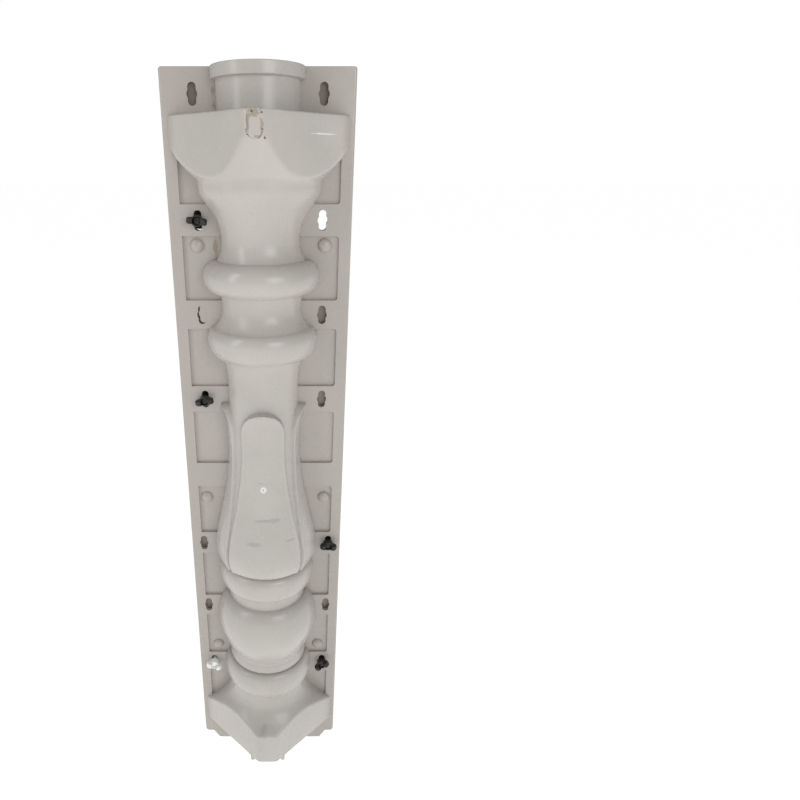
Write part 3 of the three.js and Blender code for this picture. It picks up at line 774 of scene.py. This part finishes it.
def turned_piece(radius, near, far, sides=40, bevel=0.0006):
    """A round piece along Y with softened edges."""
    bpy.ops.object.select_all(action="DESELECT")
    bpy.ops.mesh.primitive_cylinder_add(vertices=sides, radius=radius, depth=far - near,
                                        location=(0, (near + far) / 2, 0), rotation=(pi / 2, 0, 0))
    piece = bpy.context.object
    bpy.ops.object.transform_apply()
    if bevel:
        finished(piece, "BEVEL", width=bevel, segments=3, limit_method="ANGLE", angle_limit=radians(60))
    return piece


def bolt_model():
    """A bolt on its own axis, with its round head behind the flanges."""
    shank = turned_piece(bolt_radius, -clamp_face - bolt_reach, clamp_face + 0.0015)
    fused(shank, turned_piece(head_radius, clamp_face, clamp_face + head_thick, sides=64))
    alone(shank)
    bpy.ops.object.shade_smooth_by_angle(angle=radians(40))
    return shank


def wing_nut_model():
    """A hub with two arms and fat lobes, blended as one moulding and bored through."""
    parts = [turned_piece(hub_radius, -clamp_face - hub_height, -clamp_face, bevel=0.0005)]
    for side in (-1, 1):
        bpy.ops.object.select_all(action="DESELECT")
        bpy.ops.mesh.primitive_cylinder_add(vertices=40, radius=0.0045, depth=0.0063,
                                            location=(side * 0.0055, -clamp_face - 0.0079, 0))
        lobe = bpy.context.object
        bpy.ops.object.transform_apply()
        finished(lobe, "BEVEL", width=0.0018, segments=5, limit_method="ANGLE", angle_limit=radians(60))
        parts.append(lobe)
        bpy.ops.object.select_all(action="DESELECT")
        bpy.ops.mesh.primitive_cube_add(size=1, location=(side * 0.0045, -clamp_face - 0.0048, 0),
                                        rotation=(0, 0, side * radians(-42)), scale=(0.009, 0.0046, 0.0052))
        arm = bpy.context.object
        bpy.ops.object.transform_apply()
        parts.append(arm)
    nut = joined(parts)
    finished(nut, "REMESH", mode="VOXEL", voxel_size=0.0003)
    finished(nut, "SMOOTH", factor=0.5, iterations=8)
    fused(nut, turned_piece(nut_bore, -0.03, 0, bevel=0), "DIFFERENCE")
    for vertex in nut.data.vertices:
        vertex.co.x = max(-nut_half_span, min(nut_half_span, vertex.co.x))
        vertex.co.y = max(-clamp_face - nut_height, min(-clamp_face, vertex.co.y))
    alone(nut)
    bpy.ops.object.shade_smooth_by_angle(angle=radians(40))
    return nut


first_bolt, first_nut = bolt_model(), wing_nut_model()
fasteners = [
    ("upper_left", 0, -1, -7, black_nylon),
    ("middle_left", 2, -1, 10, black_nylon),
    ("middle_right", 4, 1, -4, black_nylon),
    ("lower_left", 6, -1, -18, white_nylon),
    ("lower_right", 6, 1, 30, black_nylon),
]
for name, place, side, tilt, material in fasteners:
    x, depth = slot_places[place]
    for model, node, carrier in (
        (first_bolt, f"bolt_{name}", "mould"),
        (first_nut, f"wing_nut_{name}", f"nut_{name}"),
    ):
        alone(model)
        bpy.ops.object.duplicate()
        piece = bpy.context.object
        if model is first_nut:
            piece.data.transform(Matrix.Rotation(-radians(tilt), 4, "Y"))
        piece.data.transform(Matrix.Translation((side * x, 0, tall - depth / 1000)))
        piece.name = f"clamp_{node}"
        piece.data.materials.clear()
        piece.data.materials.append(material)
        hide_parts(node)
        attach(piece, carrier)
bpy.data.objects.remove(first_bolt)
bpy.data.objects.remove(first_nut)


# Floor, light and camera.
# The mould stands on a plain white floor in soft studio light, seen from a little above
# the flange's top with a wide lens, as in the photograph. The sky looks white but lights
# the mould less, so that the softboxes shape the plastic.
bpy.ops.object.select_all(action="DESELECT")
bpy.ops.mesh.primitive_plane_add(size=80)
floor = bpy.context.object
floor.name = "studio_floor"
pale = bpy.data.materials.new("pale floor")
pale.use_nodes = True
surface = pale.node_tree.nodes["Principled BSDF"]
surface.inputs["Base Color"].default_value = (0.92, 0.92, 0.92, 1)
surface.inputs["Roughness"].default_value = 0.95
surface.inputs["Emission Color"].default_value = (1, 1, 1, 1)
surface.inputs["Emission Strength"].default_value = 0.66
floor.data.materials.append(pale)

world = bpy.data.worlds.new("studio") if bpy.context.scene.world is None else bpy.context.scene.world
bpy.context.scene.world = world
world.use_nodes = True
sky = world.node_tree.nodes["Background"]
ray = world.node_tree.nodes.new("ShaderNodeLightPath")
dimmer = world.node_tree.nodes.new("ShaderNodeMapRange")
dimmer.inputs["To Min"].default_value = 0.36
dimmer.inputs["To Max"].default_value = 1.02
world.node_tree.links.new(ray.outputs["Is Camera Ray"], dimmer.inputs["Value"])
world.node_tree.links.new(dimmer.outputs["Result"], sky.inputs["Strength"])
sky.inputs["Color"].default_value = (1, 1, 1, 1)
bpy.context.scene.view_settings.view_transform = "Standard"


def lamp(name, place, aim, width, height, power):
    bpy.ops.object.light_add(type="AREA", location=place)
    light = bpy.context.object
    light.name = name
    light.data.shape = "RECTANGLE"
    light.data.size = width
    light.data.size_y = height
    light.data.energy = power
    light.rotation_euler = (Vector(aim) - Vector(place)).to_track_quat("-Z", "Y").to_euler()


lamp("left_softbox", (-1.3, -0.9, 1.3), (0, 0, 0.5), 0.35, 1.4, 6)
lamp("right_softbox", (0.9, -1.6, 1.15), (0, 0, 0.45), 0.9, 0.9, 8.5)

bpy.ops.object.camera_add(location=(0.029, -0.596, 0.748), rotation=(radians(68.4), 0, 0))
camera = bpy.context.object
camera.data.lens = 26.1
camera.data.sensor_width = 36
camera.data.shift_x = 0.1375
bpy.context.scene.camera = camera
